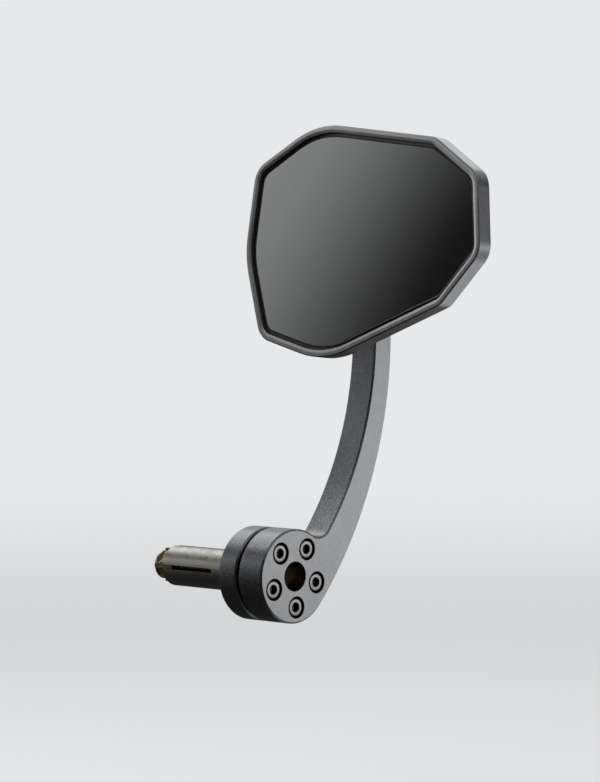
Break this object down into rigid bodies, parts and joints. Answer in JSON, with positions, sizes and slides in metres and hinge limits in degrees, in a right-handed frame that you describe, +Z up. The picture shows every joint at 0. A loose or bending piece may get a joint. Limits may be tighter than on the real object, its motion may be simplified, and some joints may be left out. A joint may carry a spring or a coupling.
{
  "type": "motorcycle bar end mirror",
  "caption": "Bar end mirror: nine-sided tilting glass on a curved arm, with a hub and a slotted expander that clamps inside the handlebar's open end.",
  "frame": {"origin": "on the handlebar's axis, at the flange's back face, which seats on the bar's end", "axes": "+X along the bar's axis, out of the bar; +Z up; the glass looks along -Y, to the rider"},
  "size_m": [0.1458, 0.0729, 0.1788],
  "materials": {
    "anodised_black": "fine bead-blasted, dark anodised",
    "anodised_head": "fine bead-blasted, dark anodised",
    "silver_alloy": "satin turned, clear anodised",
    "yellow_zinc": "yellow zinc plated, satin",
    "cone_brass": "satin turned",
    "screw_steel": "bright stainless",
    "spring_steel": "plain spring steel",
    "stud_steel": "polished",
    "bronze": "sintered bearing bronze",
    "mirror_glass": "dark tinted, polished",
    "black_rubber": "matt moulded",
    "pad_foam": "closed-cell adhesive foam"
  },
  "bodies": {
    "sleeve": {"expander_sleeve": "silver_alloy"},
    "screw": {"expander_screw": "yellow_zinc"},
    "cone": {"expander_cone": "cone_brass"},
    "arm": {"arm": "anodised_black", "hub_flange": "anodised_black", "hub_screws": "screw_steel", "expander_washer": "screw_steel", "stud_bush": "bronze"},
    "stud": {"ball_stud": "stud_steel", "stud_washer": "screw_steel", "disc_spring": "spring_steel", "stud_nut": "screw_steel"},
    "liner": {"ball_liner": "bronze"},
    "head": {"mirror_housing": "anodised_head", "mirror_glass": "mirror_glass", "glass_gasket": "black_rubber", "glass_pads": "pad_foam", "ball_seat": "stud_steel", "seat_spring": "spring_steel", "retainer_ring": "anodised_black", "retainer_screws": "screw_steel"}
  },
  "joints": [
    {"name": "arm_swivel", "type": "hinge", "parent": "sleeve", "child": "arm", "pos_m": [0, 0, 0], "axis": [1, 0, 0], "continuous": true},
    {"name": "screw_turn", "type": "hinge", "parent": "sleeve", "child": "screw", "pos_m": [0, 0, 0], "axis": [1, 0, 0], "range_deg": [0, 1080]},
    {"name": "cone_travel", "type": "slide", "parent": "sleeve", "child": "cone", "axis": [-1, 0, 0], "range_m": [0, 0.0031]},
    {"name": "head_roll", "type": "hinge", "parent": "arm", "child": "stud", "pos_m": [0.0164, 0.02575, 0.1182], "axis": [0, 1, 0], "range_deg": [-45, 45]},
    {"name": "head_pan", "type": "hinge", "parent": "stud", "child": "liner", "pos_m": [0.0164, 0.02575, 0.1182], "axis": [0, 0, 1], "range_deg": [-20, 20]},
    {"name": "head_tilt", "type": "hinge", "parent": "liner", "child": "head", "pos_m": [0.0164, 0.02575, 0.1182], "axis": [1, 0, 0], "range_deg": [-15, 15]}
  ],
  "couplings": [
    {"joint": "cone_travel", "follows": "screw_turn", "m_per_rad": 0.00015915}
  ]
}
